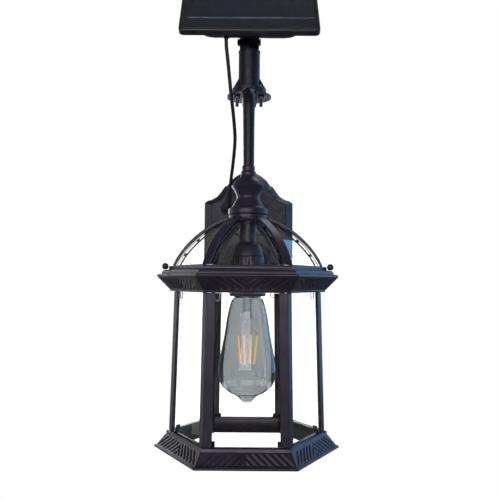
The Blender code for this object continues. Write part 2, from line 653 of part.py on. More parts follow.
# ---------------------------------------------------------------- cage
def build_post(index):
    """V-section post over one corner; its two legs follow the neighbouring sides."""
    def section(corner, z):
        vertex = Vector((corner, 0.0, z))
        points = []
        for sign in (1, -1):
            along = Vector((-0.5, sign * math.cos(math.radians(30.0)), 0.0))
            inward = Vector((-math.cos(math.radians(30.0)), -sign * 0.5, 0.0))
            tip = vertex + along * POST_LEG
            points.append((tip, tip + inward * POST_THICK))
        (tip_a, tip_a_in), (tip_b, tip_b_in) = points
        heel = vertex - Vector((POST_THICK / math.cos(math.radians(30.0)), 0.0, 0.0))
        return [tuple(p) for p in (vertex, tip_a, tip_a_in, heel, tip_b_in, tip_b)]

    name = "cage_post_" + SIDE_NAMES[index]
    mesh = loft(name, [section(POST_BOTTOM_R, BASE_HEIGHT + GAP),
                       section(POST_TOP_R, POST_TOP_Z - GAP)])
    mesh.transform(Matrix.Rotation(math.radians(60.0 * index), 4, "Z"))
    make_object(name, mesh, BRONZE, lantern_axis)


def build_cage_pane(index):
    """Flat pane of one side, standing on the base behind the posts' legs."""
    cos30 = math.cos(math.radians(30.0))

    def section(corner, z):
        outer = corner * cos30 - POST_THICK - GAP
        half = (outer - PANE_THICK) / cos30 / 2 - 0.4
        return [(outer, -half, z), (outer, half, z), (outer - PANE_THICK, half, z),
                (outer - PANE_THICK, -half, z)]

    name = "cage_glass_" + FACE_NAMES[index]
    mesh = loft(name, [section(POST_BOTTOM_R, BASE_HEIGHT + GAP),
                       section(POST_TOP_R, POST_TOP_Z - GAP)])
    mesh.transform(Matrix.Rotation(math.radians(30.0 + 60.0 * index), 4, "Z"))
    make_object(name, mesh, GLASS, lantern_axis)


# ---------------------------------------------------------------- lamp holder and bulb
def build_lamp():
    cap = turned("holder_cap", [(4.0, 228.0), (10.2, 228.0), (12.8, 226.0), (14.9, 222.8),
                                (16.4, 218.0), (17.3, 212.2), (15.4, 212.2), (14.6, 217.0),
                                (12.8, 221.4), (10.6, 224.2), (4.0, 225.6)])
    make_object("holder_cap", cap, BRONZE, lantern_axis, smooth=True)
    shell = turned("holder_shell", [(15.8, 211.8), (17.6, 211.8), (18.5, 209.0), (18.9, 176.0),
                                    (19.2, 173.2), (20.3, 172.5), (20.4, 169.0), (19.6, 167.8),
                                    (15.8, 167.8)])
    make_object("holder_shell", shell, BRONZE, lantern_axis, smooth=True)
    insert = turned("socket_insert", [(2.5, 193.2), (15.4, 193.2), (15.4, 171.0), (14.0, 171.0),
                                      (14.0, 191.8), (2.5, 191.8)])
    make_object("socket_insert", insert, BRASS, lantern_axis, smooth=True)

    contact = turned_solid("bulb_contact", [(3.6, 188.7), (3.6, 190.0), (2.2, 191.2)], FINE)
    make_object("bulb_contact", contact, BRASS, lantern_axis, smooth=True)
    cup = turned_solid("bulb_cap", [(10.0, 187.2), (12.2, 171.0), (14.2, 168.4), (14.2, 166.0),
                                    (14.9, 166.0), (14.9, 168.6), (13.1, 170.6), (13.1, 186.2),
                                    (11.0, 188.4)], ROUND)
    make_object("bulb_cap", cup, NICKEL, lantern_axis, smooth=True)
    wall = 0.9
    outer = [(14.9, 165.7), (16.4, 163.0), (20.3, 155.6), (23.2, 141.1), (25.6, 124.4),
             (28.9, 107.6), (31.5, 94.3), (32.4, 85.5), (31.5, 76.6), (28.8, 69.6),
             (23.2, 62.6), (16.2, 57.6), (10.2, 54.6), (5.6, 52.8), (3.0, 50.9), (1.6, 49.2)]
    inner = [(max(0.6, r - wall), z + (wall if z < 60.0 else 0.0)) for r, z in outer[:-1]]
    bulb = turned_solid("bulb_glass", inner[::-1] + outer)
    make_object("bulb_glass", bulb, GLASS, lantern_axis, smooth=True)


# ---------------------------------------------------------------- lead to the wall plate
LEAD_ROUTE = ((-27.0, -118.5, 218.6), (-27.0, -120.4, 214.6), (-26.5, -121.6, 205.0),
              (-24.9, -120.4, 190.7), (-22.9, -115.5, 171.0), (-21.2, -109.8, 154.0),
              (-19.6, -104.4, 141.0), (-17.6, -93.0, 122.0), (-16.9, -79.5, 105.5),
              (-19.2, -61.5, 85.0), (-21.8, -46.5, 68.6), (-23.4, -37.8, 58.1))


def build_grommet():
    """Rubber grommet in the plate, with a ball and a tapered sleeve round the lead."""
    disc = turned_solid("wall_grommet", [(3.9, -5.0), (3.9, 0.3), (7.6, 0.3), (7.6, 1.8),
                                         (6.6, 2.6), (5.0, 2.6)], 16)
    moved(disc, (RELIEF_START[0], -PLATE_DEPTH, RELIEF_START[2]), ALONG_Y)
    grommet = make_object("wall_grommet", disc, RUBBER, smooth=True)
    ball = [(0.8, -4.7)]
    ball += [(4.8 * math.cos(a), 4.8 * math.sin(a))
             for a in (math.radians(d) for d in range(-60, 61, 20))]
    ball.append((0.8, 4.7))
    ball_mesh = moved(turned_solid("relief_ball", ball, 16), RELIEF_START)
    cutter("relief_ball_shape", ball_mesh, grommet, "UNION")
    start = Vector(RELIEF_START)
    along = Vector(RELIEF_END) - start
    sleeve = turned_solid("relief_sleeve", [(3.5, 2.0), (3.1, along.length * 0.6),
                                            (2.5, along.length)], 16)
    turn = along.to_track_quat("Z", "Y").to_matrix().to_4x4()
    cutter("relief_sleeve_shape", moved(sleeve, start, turn), grommet, "UNION")


def build_lead():
    """The lead from the panel's housing to the wall plate, with its easy bow."""
    points = smooth_path(LEAD_ROUTE, LEAD_SPACING)
    curve = bpy.data.curves.new("solar_lead", "CURVE")
    curve.dimensions = "3D"
    curve.bevel_depth = LEAD_RADIUS * MM
    curve.bevel_resolution = 2
    curve.use_fill_caps = True
    spline = curve.splines.new("POLY")
    spline.points.add(len(points) - 1)
    for spline_point, point in zip(spline.points, points):
        spline_point.co = (*(point * MM), 1.0)
    curve.materials.append(RUBBER)
    lead = bpy.data.objects.new("solar_lead", curve)
    bpy.context.scene.collection.objects.link(lead)


build_strap()
build_wall_plate()
build_arm()
build_pole()
build_clamp()
build_knuckles()
build_panel()
build_finial()
build_cornice()
build_base()
for corner_index in range(HEX):
    build_rib(corner_index)
    build_dome_pane(corner_index)
    build_post(corner_index)
    build_cage_pane(corner_index)
build_lamp()
build_grommet()
build_lead()
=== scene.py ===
import math

import bmesh
import bpy
from mathutils import Matrix, Vector


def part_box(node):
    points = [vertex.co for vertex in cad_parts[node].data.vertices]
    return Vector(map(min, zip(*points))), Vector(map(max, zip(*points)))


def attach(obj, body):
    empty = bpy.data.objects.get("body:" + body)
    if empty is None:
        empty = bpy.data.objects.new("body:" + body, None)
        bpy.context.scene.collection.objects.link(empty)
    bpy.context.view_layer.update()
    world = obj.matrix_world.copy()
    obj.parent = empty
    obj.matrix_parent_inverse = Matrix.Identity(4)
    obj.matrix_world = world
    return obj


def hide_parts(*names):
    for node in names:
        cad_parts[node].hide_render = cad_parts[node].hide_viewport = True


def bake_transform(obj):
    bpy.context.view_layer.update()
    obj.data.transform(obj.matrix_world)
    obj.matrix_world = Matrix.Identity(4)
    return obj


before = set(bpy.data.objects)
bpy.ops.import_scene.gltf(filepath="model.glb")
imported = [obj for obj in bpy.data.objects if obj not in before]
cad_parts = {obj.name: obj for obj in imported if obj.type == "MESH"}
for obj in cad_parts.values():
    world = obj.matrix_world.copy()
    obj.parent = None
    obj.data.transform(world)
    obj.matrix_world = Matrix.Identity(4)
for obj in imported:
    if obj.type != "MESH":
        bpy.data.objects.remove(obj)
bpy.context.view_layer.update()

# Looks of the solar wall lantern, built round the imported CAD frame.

MM = 0.001
HEX = 6

# ---------------------------------------------------------------- places read from the frame
base_low, base_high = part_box("base_skirt")
AXIS = Vector(((base_low.x + base_high.x) / 2, (base_low.y + base_high.y) / 2, base_low.z))


def at_axis(x, y, z):
    """A point in millimetres from the lantern's axis and the underside of its base."""
    return AXIS + Vector((x, y, z)) * MM


# ---------------------------------------------------------------- camera
CAMERA_PLACE = (0.0034, -0.8401, -0.065)
CAMERA_YAW = 0.08               # degrees, as are the next two
CAMERA_PITCH = 92.8
CAMERA_ROLL = 0.40
LENS = 45.34                    # millimetres, on a sensor of the next width
SENSOR = 36.0


def make_camera():
    data = bpy.data.cameras.new("camera")
    data.lens = LENS
    data.sensor_width = SENSOR
    data.clip_start = 0.02
    camera = bpy.data.objects.new("camera", data)
    bpy.context.scene.collection.objects.link(camera)
    yaw = Matrix.Rotation(math.radians(CAMERA_YAW), 4, "Z")
    pitch = Matrix.Rotation(math.radians(CAMERA_PITCH), 4, "X")
    roll = Matrix.Rotation(math.radians(CAMERA_ROLL), 4, "Z")
    camera.matrix_world = Matrix.Translation(CAMERA_PLACE) @ yaw @ pitch @ roll
    bpy.context.scene.camera = camera


make_camera()


# ---------------------------------------------------------------- mesh helpers
def new_piece(name, mesh, material, smooth_angle=35.0):
    obj = bpy.data.objects.new(name, mesh)
    bpy.context.scene.collection.objects.link(obj)
    if material is not None:
        mesh.materials.append(material)
    mesh.shade_smooth()
    mesh.set_sharp_from_angle(angle=math.radians(smooth_angle))
    return obj


def mesh_from(name, points, faces):
    mesh = bpy.data.meshes.new(name)
    bm = bmesh.new()
    verts = [bm.verts.new(point) for point in points]
    for face in faces:
        bm.faces.new([verts[i] for i in face])
    bmesh.ops.recalc_face_normals(bm, faces=bm.faces)
    bm.to_mesh(mesh)
    bm.free()
    return mesh


def loft(name, rings, closed_rows=False, capped=True):
    """A skin through rings of points, each ring closed on itself."""
    count = len(rings[0])
    points = [point for ring in rings for point in ring]
    faces = []
    for row in range(len(rings) if closed_rows else len(rings) - 1):
        above = (row + 1) % len(rings)
        for i in range(count):
            j = (i + 1) % count
            faces.append((row * count + i, row * count + j, above * count + j, above * count + i))
    if capped and not closed_rows:
        faces.append(tuple(range(count)))
        faces.append(tuple((len(rings) - 1) * count + i for i in range(count)))
    return mesh_from(name, points, faces)


def turned(name, profile, material, sides=64, closed=True):
    """A piece turned round the lantern's axis from (radius, height) points in millimetres."""
    rings = []
    for radius, height in profile:
        rings.append([at_axis(radius * math.cos(2 * math.pi * i / sides),
                              radius * math.sin(2 * math.pi * i / sides), height)
                      for i in range(sides)])
    return new_piece(name, loft(name, rings, closed_rows=closed), material)


def tube(name, path, radius, material, sides=12, taper=None):
    """A round tube along a path of points in metres, with flat ends."""
    rings = []
    normal = None
    for i, point in enumerate(path):
        ahead = path[min(i + 1, len(path) - 1)]
        behind = path[max(i - 1, 0)]
        along = (ahead - behind).normalized()
        if normal is None:
            normal = along.orthogonal().normalized()
        normal = (normal - along * normal.dot(along)).normalized()
        across = along.cross(normal)
        r = radius if taper is None else radius * taper(i / (len(path) - 1))
        rings.append([point + normal * (r * math.cos(2 * math.pi * k / sides))
                      + across * (r * math.sin(2 * math.pi * k / sides)) for k in range(sides)])
    return new_piece(name, loft(name, rings), material)


def smooth_path(route, spacing):
    """Points at about `spacing` along a smooth curve through the route's points."""
    knots = [Vector(point) for point in route]
    ends = [2 * knots[0] - knots[1]] + knots + [2 * knots[-1] - knots[-2]]
    points = []
    for i in range(1, len(ends) - 2):
        p0, p1, p2, p3 = ends[i - 1:i + 3]
        steps = max(1, round((p2 - p1).length / spacing))
        for step in range(steps):
            t = step / steps
            points.append(0.5 * ((2 * p1) + (p2 - p0) * t
                                 + (2 * p0 - 5 * p1 + 4 * p2 - p3) * t * t
                                 + (3 * p1 - p0 - 3 * p2 + p3) * t ** 3))
    points.append(knots[-1])
    return points


def refined(node, material, body="root", bevel=0.4, angle=30.0):
    """A copy of a CAD node with its flat faces merged, its edges rounded and its curves smooth."""
    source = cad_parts[node]
    mesh = source.data.copy()
    mesh.materials.clear()
    bm = bmesh.new()
    bm.from_mesh(mesh)
    bmesh.ops.remove_doubles(bm, verts=bm.verts, dist=1e-6)
    bmesh.ops.dissolve_limit(bm, angle_limit=math.radians(0.6), verts=bm.verts, edges=bm.edges)
    bm.to_mesh(mesh)
    bm.free()
    obj = new_piece(node + "_finish", mesh, material, angle)
    if bevel > 0.0:
        rounding = obj.modifiers.new("edge_rounding", "BEVEL")
        rounding.width = bevel * MM
        rounding.segments = 2
        rounding.limit_method = "ANGLE"
        rounding.angle_limit = math.radians(angle)
        rounding.harden_normals = False
    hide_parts(node)
    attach(obj, body)
    return obj


# ---------------------------------------------------------------- materials
def start_material(name, colour, roughness, metallic=0.0):
    """A Principled material and its object coordinates, in metres."""
    material = bpy.data.materials.new(name)
    material.use_nodes = True
    material.diffuse_color = (*colour, 1.0)
    tree = material.node_tree
    shader = tree.nodes["Principled BSDF"]
    shader.inputs["Base Color"].default_value = (*colour, 1.0)
    shader.inputs["Roughness"].default_value = roughness
    shader.inputs["Metallic"].default_value = metallic
    place = tree.nodes.new("ShaderNodeTexCoord")
    return material, tree, shader, place.outputs["Object"]


def noise(tree, place, scale, detail=3.0, stretch=None):
    node = tree.nodes.new("ShaderNodeTexNoise")
    node.inputs["Scale"].default_value = scale
    node.inputs["Detail"].default_value = detail
    if stretch is not None:
        mapping = tree.nodes.new("ShaderNodeMapping")
        mapping.inputs["Scale"].default_value = stretch
        tree.links.new(place, mapping.inputs["Vector"])
        place = mapping.outputs["Vector"]
    tree.links.new(place, node.inputs["Vector"])
    return node.outputs["Fac"]


def ranged(tree, value, from_low, from_high, to_low, to_high):
    node = tree.nodes.new("ShaderNodeMapRange")
    settings = {"From Min": from_low, "From Max": from_high, "To Min": to_low, "To Max": to_high}
    for socket, number in settings.items():
        node.inputs[socket].default_value = number
    tree.links.new(value, node.inputs["Value"])
    return node.outputs["Result"]


def combined(tree, operation, first, second):
    """A Math node on an output and another output or a number."""
    node = tree.nodes.new("ShaderNodeMath")
    node.operation = operation
    tree.links.new(first, node.inputs[0])
    if isinstance(second, float):
        node.inputs[1].default_value = second
    else:
        tree.links.new(second, node.inputs[1])
    return node.outputs[0]


def mixed(tree, factor, first, second):
    """Two colours, or outputs that carry colours, mixed by a factor."""
    node = tree.nodes.new("ShaderNodeMix")
    node.data_type = "RGBA"
    tree.links.new(factor, node.inputs["Factor"])
    for socket, value in (("A", first), ("B", second)):
        target = [s for s in node.inputs if s.name == socket and s.type == "RGBA"][0]
        if isinstance(value, tuple):
            target.default_value = (*value, 1.0)
        else:
            tree.links.new(value, target)
    return [s for s in node.outputs if s.type == "RGBA"][0]


def bump(tree, shader, height, depth, strength=1.0, before=None):
    """Bump of that depth in millimetres; `before` is an earlier bump to lay it over."""
    node = tree.nodes.new("ShaderNodeBump")
    node.inputs["Strength"].default_value = strength
    node.inputs["Distance"].default_value = depth * MM
    tree.links.new(height, node.inputs["Height"])
    if before is not None:
        tree.links.new(before, node.inputs["Normal"])
    tree.links.new(node.outputs["Normal"], shader.inputs["Normal"])
    return node.outputs["Normal"]


def edge_mask(tree, radius):
    """About 1 on the outer and inner edges and 0 on flat faces."""
    rounded = tree.nodes.new("ShaderNodeBevel")
    rounded.samples = 4
    rounded.inputs["Radius"].default_value = radius * MM
    flat = tree.nodes.new("ShaderNodeNewGeometry")
    dot = tree.nodes.new("ShaderNodeVectorMath")
    dot.operation = "DOT_PRODUCT"
    tree.links.new(rounded.outputs["Normal"], dot.inputs[0])
    tree.links.new(flat.outputs["Normal"], dot.inputs[1])
    return ranged(tree, dot.outputs["Value"], 1.0, 0.86, 0.0, 1.0)


def make_paint(name, colour, edge, roughness, peel=0.05, metallic=0.25, coat=0.25):
    """Semi-gloss paint over a casting: orange peel, uneven gloss and a painted highlight on its
    edges.
    """
    material, tree, shader, place = start_material(name, colour, roughness, metallic)
    cloud = noise(tree, place, 45.0, 4.0)
    darker = tuple(c * 0.72 for c in colour)
    lighter = tuple(c * 1.25 for c in colour)
    clouded = mixed(tree, ranged(tree, cloud, 0.3, 0.7, 0.0, 1.0), darker, lighter)
    broken = noise(tree, place, 420.0, 5.0)
    # Painted highlight: the edge colour is mixed in along edges and corners, broken up by noise.
    painted_edge_highlight = tree.nodes.new("ShaderNodeMath")
    painted_edge_highlight.operation = "MULTIPLY"
    tree.links.new(edge_mask(tree, 0.7), painted_edge_highlight.inputs[0])
    tree.links.new(ranged(tree, broken, 0.35, 0.65, 0.15, 0.8), painted_edge_highlight.inputs[1])
    tree.links.new(mixed(tree, painted_edge_highlight.outputs[0], clouded, edge), shader.inputs["Base Color"])
    gloss = noise(tree, place, 160.0, 4.0)
    tree.links.new(ranged(tree, gloss, 0.3, 0.7, roughness - 0.07, roughness + 0.09),
                   shader.inputs["Roughness"])
    casting = bump(tree, shader, cloud, 0.35, 0.5)
    bump(tree, shader, noise(tree, place, 900.0, 2.0), peel, 0.8, casting)
    shader.inputs["Coat Weight"].default_value = coat
    shader.inputs["Coat Roughness"].default_value = 0.22
    return material


def make_metal(name, colour, roughness, brush=(1.0, 1.0, 1.0), scratch=0.02):
    """Bare or plated metal with brush marks, small stains and uneven gloss."""
    material, tree, shader, place = start_material(name, colour, roughness, 1.0)
    stain = noise(tree, place, 70.0, 5.0)
    darker = tuple(c * 0.66 for c in colour)
    tree.links.new(mixed(tree, ranged(tree, stain, 0.38, 0.72, 0.0, 1.0), colour, darker),
                   shader.inputs["Base Color"])
    lines = noise(tree, place, 700.0, 4.0, brush)
    tree.links.new(ranged(tree, lines, 0.25, 0.75, roughness - 0.1, roughness + 0.14),
                   shader.inputs["Roughness"])
    bump(tree, shader, lines, scratch, 0.7)
    return material


def make_moulded(name, colour, roughness, grain, depth):
    """Moulded plastic or rubber with a fine eroded grain and handling marks."""
    material, tree, shader, place = start_material(name, colour, roughness)
    grains = tree.nodes.new("ShaderNodeTexVoronoi")
    grains.inputs["Scale"].default_value = grain
    tree.links.new(place, grains.inputs["Vector"])
    smear = noise(tree, place, 55.0, 4.0)
    lighter = tuple(c * 1.7 + 0.004 for c in colour)
    tree.links.new(mixed(tree, ranged(tree, smear, 0.35, 0.75, 0.0, 1.0), colour, lighter),
                   shader.inputs["Base Color"])
    tree.links.new(ranged(tree, smear, 0.3, 0.7, roughness - 0.08, roughness + 0.1),
                   shader.inputs["Roughness"])
    bump(tree, shader, grains.outputs["Distance"], depth, 0.6)
    return material


def make_glass(name, tint, waviness, roughness=0.0, ior=1.45):
    """Clear drawn glass: slow waves, faint dust that dulls the gloss in patches."""
    material, tree, shader, place = start_material(name, tint, roughness)
    shader.inputs["Transmission Weight"].default_value = 1.0
    shader.inputs["IOR"].default_value = ior
    dust = noise(tree, place, 30.0, 6.0)
    tree.links.new(ranged(tree, dust, 0.5, 0.8, roughness, roughness + 0.05),
                   shader.inputs["Roughness"])
    bump(tree, shader, noise(tree, place, 22.0, 1.0), waviness, 0.5)
    return material


# One dark bronze paint covers the whole lantern. Its colour below is partly the paint's own colour
# and partly a painted warm, purple light cast. The darker, bluer copy after it, used on the wall
# plate, pole, knuckles, bracket and arm, is painted shade with a painted blue sky cast. The second
# colour of each paint is a painted highlight for its edges.
PAINT = make_paint("bronze_paint", (0.0300, 0.0245, 0.0385), (0.072, 0.061, 0.078), 0.43)
SHADED_PAINT = make_paint("bronze_paint_arm_painted_shade", (0.0075, 0.0095, 0.0165), (0.032, 0.036, 0.048), 0.45,
                        coat=0.05)
OLIVE = make_paint("olive_bronze", (0.090, 0.066, 0.032), (0.24, 0.18, 0.09), 0.30, 0.02, 0.8)
ZINC = make_metal("zinc_plated", (0.15, 0.155, 0.16), 0.56, (1.0, 0.15, 1.0))
STEEL = make_metal("steel", (0.58, 0.58, 0.60), 0.30, (1.0, 1.0, 0.2))
BLACK_STEEL = make_metal("blackened_steel", (0.10, 0.10, 0.115), 0.38)
BRASS = make_metal("socket_brass", (0.72, 0.52, 0.24), 0.30)
NICKEL = make_metal("nickel_plated", (0.66, 0.64, 0.60), 0.26, (0.2, 0.2, 1.0))
RUBBER = make_moulded("black_rubber", (0.009, 0.010, 0.013), 0.62, 1500.0, 0.03)
PLASTIC = make_moulded("black_plastic", (0.0115, 0.0145, 0.020), 0.42, 2200.0, 0.02)
CIRCUIT = make_moulded("circuit_board", (0.018, 0.10, 0.045), 0.38, 1200.0, 0.02)
WRAP = make_moulded("battery_wrap", (0.04, 0.13, 0.36), 0.35, 900.0, 0.02)
GLASS = make_glass("clear_glass", (0.995, 1.0, 0.998), 0.03, 0.0, 1.28)
PANEL_GLASS = make_glass("panel_cover_glass", (0.86, 0.92, 1.0), 0.02, 0.30, 1.30)
CLEAR_BULB = make_glass("stem_glass", (0.90, 0.93, 0.95), 0.05)
# The bulb glass's dark grey tint is painted shade: it dims the backdrop and everything else seen
# through the bulb.
SHADE_TINTED_BULB_GLASS = make_glass("bulb_glass", (0.45, 0.47, 0.48), 0.05)

PANEL_TILT = math.radians(-35.0)
PIVOT = Vector((0.0, AXIS.y + 0.040, 0.2235))


def on_panel(x, out, up):
    """A point in millimetres from the tilt pivot: across, ahead of it and up the panel."""
    turn = Matrix.Rotation(PANEL_TILT, 4, "X")
    return PIVOT + turn @ (Vector((x, -out, up)) * MM)


# ---------------------------------------------------------------- lead
LEAD_RADIUS = 0.0021
LEAD_ROUTE = ((-0.0270, -0.1185, 0.2186), (-0.0270, -0.1204, 0.2146), (-0.0265, -0.1216, 0.2050),
              (-0.0249, -0.1204, 0.1907), (-0.0229, -0.1155, 0.1710), (-0.0212, -0.1098, 0.1540),
              (-0.0196, -0.1044, 0.1410), (-0.0176, -0.0930, 0.1220), (-0.0169, -0.0795, 0.1055),
              (-0.0192, -0.0615, 0.0850), (-0.0218, -0.0465, 0.0686), (-0.0234, -0.0378, 0.0581))


def build_lead():
    """The lead that shows end to end, from the panel's nozzle to the sleeve on the plate."""
    path = smooth_path(LEAD_ROUTE, LEAD_RADIUS)
    lead = tube("lead", path, LEAD_RADIUS, RUBBER, 16)
    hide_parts("solar_lead")
    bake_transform(lead)


build_lead()


# ---------------------------------------------------------------- studio
FLOOR_HEIGHT = -2.0             # the lantern hangs about two metres up on its wall
FLOOR_RADIUS = 4.0
WORLD_GLOW = 0.10
THROUGH_GLASS = 1.50            # added where the backdrop is seen straight through glass
AIM = (0.0, -0.12, -0.05)


def make_floor():
    """Plain pale floor, well below the wall fitting."""
    mesh = bpy.data.meshes.new("floor")
    bm = bmesh.new()
    bmesh.ops.create_circle(bm, cap_ends=True, segments=96, radius=FLOOR_RADIUS)
    bmesh.ops.translate(bm, verts=bm.verts, vec=(0.0, 0.0, FLOOR_HEIGHT))
    bm.to_mesh(mesh)
    bm.free()
    material, tree, shader, place = start_material("pale_floor", (0.93, 0.93, 0.93), 0.6)
    shade = ranged(tree, noise(tree, place, 3.0), 0.3, 0.7, 0.52, 0.66)
    tree.links.new(shade, shader.inputs["Roughness"])
    floor = bpy.data.objects.new("floor", mesh)
    mesh.materials.append(material)
    bpy.context.scene.collection.objects.link(floor)
    floor.visible_diffuse = False
    floor.visible_glossy = False


def make_world():
    """White where it is looked at, straight or through glass, and soft grey as a light."""
    world = bpy.data.worlds.new("studio")
    world.use_nodes = True
    bpy.context.scene.world = world
    tree = world.node_tree
    background = tree.nodes["Background"]
    background.inputs["Color"].default_value = (1.0, 1.0, 1.0, 1.0)
    rays = tree.nodes.new("ShaderNodeLightPath")
    bounces = combined(tree, "ADD", rays.outputs["Diffuse Depth"], rays.outputs["Glossy Depth"])
    straight = combined(tree, "LESS_THAN", bounces, 0.5)
    through = combined(tree, "MULTIPLY", rays.outputs["Is Transmission Ray"], straight)
    glow = ranged(tree, rays.outputs["Is Camera Ray"], 0.0, 1.0, WORLD_GLOW, 1.0)
    tree.links.new(combined(tree, "ADD", glow, combined(tree, "MULTIPLY", through, THROUGH_GLASS)),
                   background.inputs["Strength"])


def area_light(name, place, aim, width, height, power, colour, through_glass=True):
    data = bpy.data.lights.new(name, "AREA")
    data.shape = "RECTANGLE"
    data.size = width
    data.size_y = height
    data.energy = power
    data.color = colour
    light = bpy.data.objects.new(name, data)
    bpy.context.scene.collection.objects.link(light)
    light.visible_camera = False
    light.visible_transmission = through_glass
    light.location = Vector(place)
    light.rotation_euler = (Vector(aim) - Vector(place)).to_track_quat("-Z", "Y").to_euler()


make_floor()
make_world()
area_light("front_soft", (-0.5, -2.3, 0.46), AIM, 2.6, 0.9, 27.0, (0.93, 0.86, 1.0))
area_light("right_sky", (2.0, 1.2, 0.5), AIM, 2.2, 2.2, 22.0, (0.24, 0.54, 1.0))
area_light("right_edge", (2.3, -0.7, 0.1), AIM, 0.6, 2.0, 5.0, (0.34, 0.62, 1.0))
area_light("top_soft", (0.5, 1.3, 1.9), AIM, 1.4, 1.0, 8.0, (0.85, 0.93, 1.0))
area_light("left_fill", (-2.3, 0.6, 0.2), AIM, 1.4, 2.0, 5.5, (0.93, 0.96, 1.0), False)
area_light("back_fill", (-0.9, 2.4, 0.1), AIM, 2.4, 1.6, 46.0, (0.90, 0.95, 1.0), False)
area_light("floor_wash", (0.0, 0.0, -0.9), (0.0, 0.0, -2.0), 9.0, 9.0, 420.0, (1.0, 1.0, 1.0))
bpy.context.scene.view_settings.view_transform = "Standard"


# ---------------------------------------------------------------- CAD nodes and their finish
def finish_node(node, material):
    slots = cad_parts[node].material_slots
    if not slots:
        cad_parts[node].data.materials.append(material)
    for slot in slots:
        slot.material = material


NODE_FINISHES = {
    "mounting_strap": STEEL, "plate_nut_top": PAINT, "plate_nut_bottom": PAINT,
    "clamp_bolt_left": BLACK_STEEL, "clamp_bolt_right": BLACK_STEEL,
    "clamp_nut_left": BLACK_STEEL, "clamp_nut_right": BLACK_STEEL,
    "pivot_bolt": BLACK_STEEL, "pivot_nut": BLACK_STEEL,
    "socket_insert": BRASS, "bulb_contact": BRASS,
    "battery_pack": WRAP, "control_board": CIRCUIT,
}


# ---------------------------------------------------------------- profiles
def curve_profile(*runs):
    """(radius, height) points in millimetres; each run is a smooth curve, with corners between."""
    points = []
    for run in runs:
        if len(run) < 3:
            points += list(run)
            continue
        smooth = smooth_path([(r, 0.0, z) for r, z in run], 0.9)
        points += [(point.x, point.z) for point in smooth]
    return points


def eased(profile, radius):
    """A closed profile with each corner eased by a three-point round of about that radius."""
    points = []
    count = len(profile)
    for i in range(count):
        corner = Vector(profile[i])
        before = Vector(profile[i - 1])
        after = Vector(profile[(i + 1) % count])
        back = min(radius, (before - corner).length * 0.4)
        ahead = min(radius, (after - corner).length * 0.4)
        start = corner + (before - corner).normalized() * back
        end = corner + (after - corner).normalized() * ahead
        middle = (start + end + 2 * corner) / 4
        points += [tuple(start), tuple(middle), tuple(end)]
    return points


# ---------------------------------------------------------------- cornice and base skirt
CHEVRON_PITCH = 7.3
CHEVRON_DEPTH = 1.3
COLUMNS = 120                   # across each of the six sides


def smooth_step(low, high, value):
    t = min(1.0, max(0.0, (value - low) / (high - low)))
    return t * t * (3.0 - 2.0 * t)


def groove(phase, first, last):
    """1 at the bottom of a groove and 0 on the ridges and outside the pattern."""
    if phase < first or phase > last:
        return 0.0
    from_centre = abs(phase - math.floor(phase) - 0.5) * 2.0
    return 1.0 - smooth_step(0.12, 0.62, from_centre)


def six_sided(name, profile, slope, lean, first, last):
    """A six-sided ring; `slope` is two profile points whose face carries the chevrons."""
    (r0, z0), (r1, z1) = slope
    cos30 = math.cos(math.radians(30.0))
    length = math.hypot((r1 - r0) * cos30, z1 - z0)
    steps = 22
    rows = []
    for r, z in profile:
        rows.append((r, z, None))
        if (r, z) == (r0, z0):
            rows += [(r0 + (r1 - r0) * k / steps, z0 + (z1 - z0) * k / steps, length * k / steps)
                     for k in range(1, steps)]
    inward = Vector((-(z1 - z0), (r1 - r0) * cos30)).normalized()
    if inward.x > 0.0:
        inward = -inward
    top_down = z1 < z0
    rings = []
    for r, z, along in rows:
        ring = []
        for side in range(HEX):
            middle = math.radians(30.0 + 60.0 * side)
            normal = Vector((math.cos(middle), math.sin(middle)))
            across = Vector((-normal.y, normal.x))
            for column in range(COLUMNS):
                u = 2.0 * column / COLUMNS - 1.0
                push = 0.0
                if along is not None:
                    down = along if top_down else length - along
                    phase = (abs(u) * r / 2 + lean * down) / CHEVRON_PITCH
                    push = CHEVRON_DEPTH * groove(phase, first, last)
                    push *= smooth_step(0.0, 0.9, along) * smooth_step(0.0, 0.9, length - along)
                spot = normal * (r * cos30 + inward.x * push) + across * (u * r / 2)
                ring.append(at_axis(spot.x, spot.y, z + inward.y * push))
        rings.append(ring)
    obj = new_piece(name, loft(name, rings, closed_rows=True), PAINT, 50.0)
    return obj


